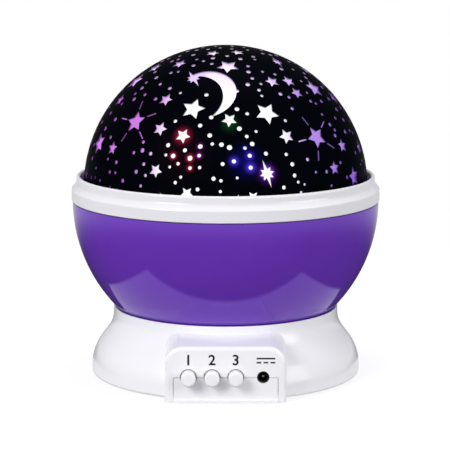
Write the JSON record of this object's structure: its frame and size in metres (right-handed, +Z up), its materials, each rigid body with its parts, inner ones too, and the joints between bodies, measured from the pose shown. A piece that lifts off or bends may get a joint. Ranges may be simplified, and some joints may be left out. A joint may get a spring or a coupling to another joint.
{
  "type": "rotating star projector lamp",
  "caption": "Ball-shaped night lamp: a bowl and a pierced dome turn together on a fixed base with push buttons and throw moving stars on walls and ceiling.",
  "frame": {"origin": "on the floor under the ball's vertical axis, at the centre of the lamp's footprint", "axes": "+Z up along the axis on which the ball turns, -Y towards the control panel, +X to the right as seen from the front"},
  "size_m": [0.1248, 0.1248, 0.1337],
  "materials": {
    "white_gloss": "glossy moulded ABS",
    "white_satin": "satin moulded plastic",
    "violet_gloss": "glossy, through-coloured",
    "black_gloss": "glossy black skin",
    "clear_plastic": "clear polystyrene",
    "rubber": "soft, matt",
    "zinc_steel": "zinc plated",
    "cell_jacket": "satin foil jacket",
    "board_green": "solder resist",
    "black_plastic": "satin",
    "gear_plastic": "acetal, satin",
    "light_red": "clear tinted resin",
    "light_green": "clear tinted resin",
    "light_blue": "clear tinted resin",
    "light_white": "clear resin",
    "wire_red": "soft insulation",
    "wire_grey": "soft insulation"
  },
  "bodies": {
    "base": {"base_shell": "white_gloss", "lower_cover": "white_gloss", "cover_screws": "zinc_steel", "foot_1": "rubber", "foot_2": "rubber", "foot_3": "rubber", "foot_4": "rubber", "cell_1": "cell_jacket", "cell_2": "cell_jacket", "cell_3": "cell_jacket", "cell_4": "cell_jacket", "contact_plates": "zinc_steel", "contact_springs": "zinc_steel", "circuit_board": "board_green", "switch_1": "black_plastic", "switch_2": "black_plastic", "switch_3": "black_plastic", "power_socket": "black_plastic", "socket_pin": "zinc_steel", "control_chip": "black_plastic", "capacitor": "black_plastic", "motor": "zinc_steel", "motor_screws": "zinc_steel", "lamp_post": "white_satin", "post_screws": "zinc_steel", "thrust_washer": "gear_plastic", "retaining_clip": "zinc_steel", "light_holder": "white_satin", "light_board": "white_satin", "holder_screws": "zinc_steel", "light_red": "light_red", "light_green": "light_green", "light_blue": "light_blue", "light_white": "light_white", "light_wire": "wire_grey", "motor_wire": "wire_red", "battery_wire": "wire_red"},
    "ball": {"drive_gear": "gear_plastic", "gear_screws": "zinc_steel", "bowl": "violet_gloss", "reflector": "white_satin", "clear_dome": "clear_plastic", "star_mask": "black_gloss", "ring": "white_gloss"},
    "pinion": {"pinion": "gear_plastic", "motor_shaft": "zinc_steel"},
    "button_1": {"button_1": "white_gloss", "switch_stem_1": "gear_plastic"},
    "button_2": {"button_2": "white_gloss", "switch_stem_2": "gear_plastic"},
    "button_3": {"button_3": "white_gloss", "switch_stem_3": "gear_plastic"},
    "door": {"battery_door": "white_gloss", "door_screw": "zinc_steel"}
  },
  "joints": [
    {"name": "ball_spin", "type": "hinge", "parent": "base", "child": "ball", "pos_m": [0, 0, 0.0235], "axis": [0, 0, 1], "continuous": true},
    {"name": "pinion_spin", "type": "hinge", "parent": "base", "child": "pinion", "pos_m": [0, 0.0348, 0.021], "axis": [0, 0, 1], "continuous": true},
    {"name": "button_1_press", "type": "slide", "parent": "base", "child": "button_1", "axis": [0, 1, 0], "range_m": [0, 0.0012], "stiffness_N_per_m": 400, "springref_m": -0.0005},
    {"name": "button_2_press", "type": "slide", "parent": "base", "child": "button_2", "axis": [0, 1, 0], "range_m": [0, 0.0012], "stiffness_N_per_m": 400, "springref_m": -0.0005},
    {"name": "button_3_press", "type": "slide", "parent": "base", "child": "button_3", "axis": [0, 1, 0], "range_m": [0, 0.0012], "stiffness_N_per_m": 400, "springref_m": -0.0005},
    {"name": "door_swing", "type": "hinge", "parent": "base", "child": "door", "pos_m": [0, 0.0097, 0.002], "axis": [1, 0, 0], "range_deg": [0, 50]}
  ],
  "couplings": [
    {"joint": "pinion_spin", "follows": "ball_spin", "ratio": -4.8}
  ]
}
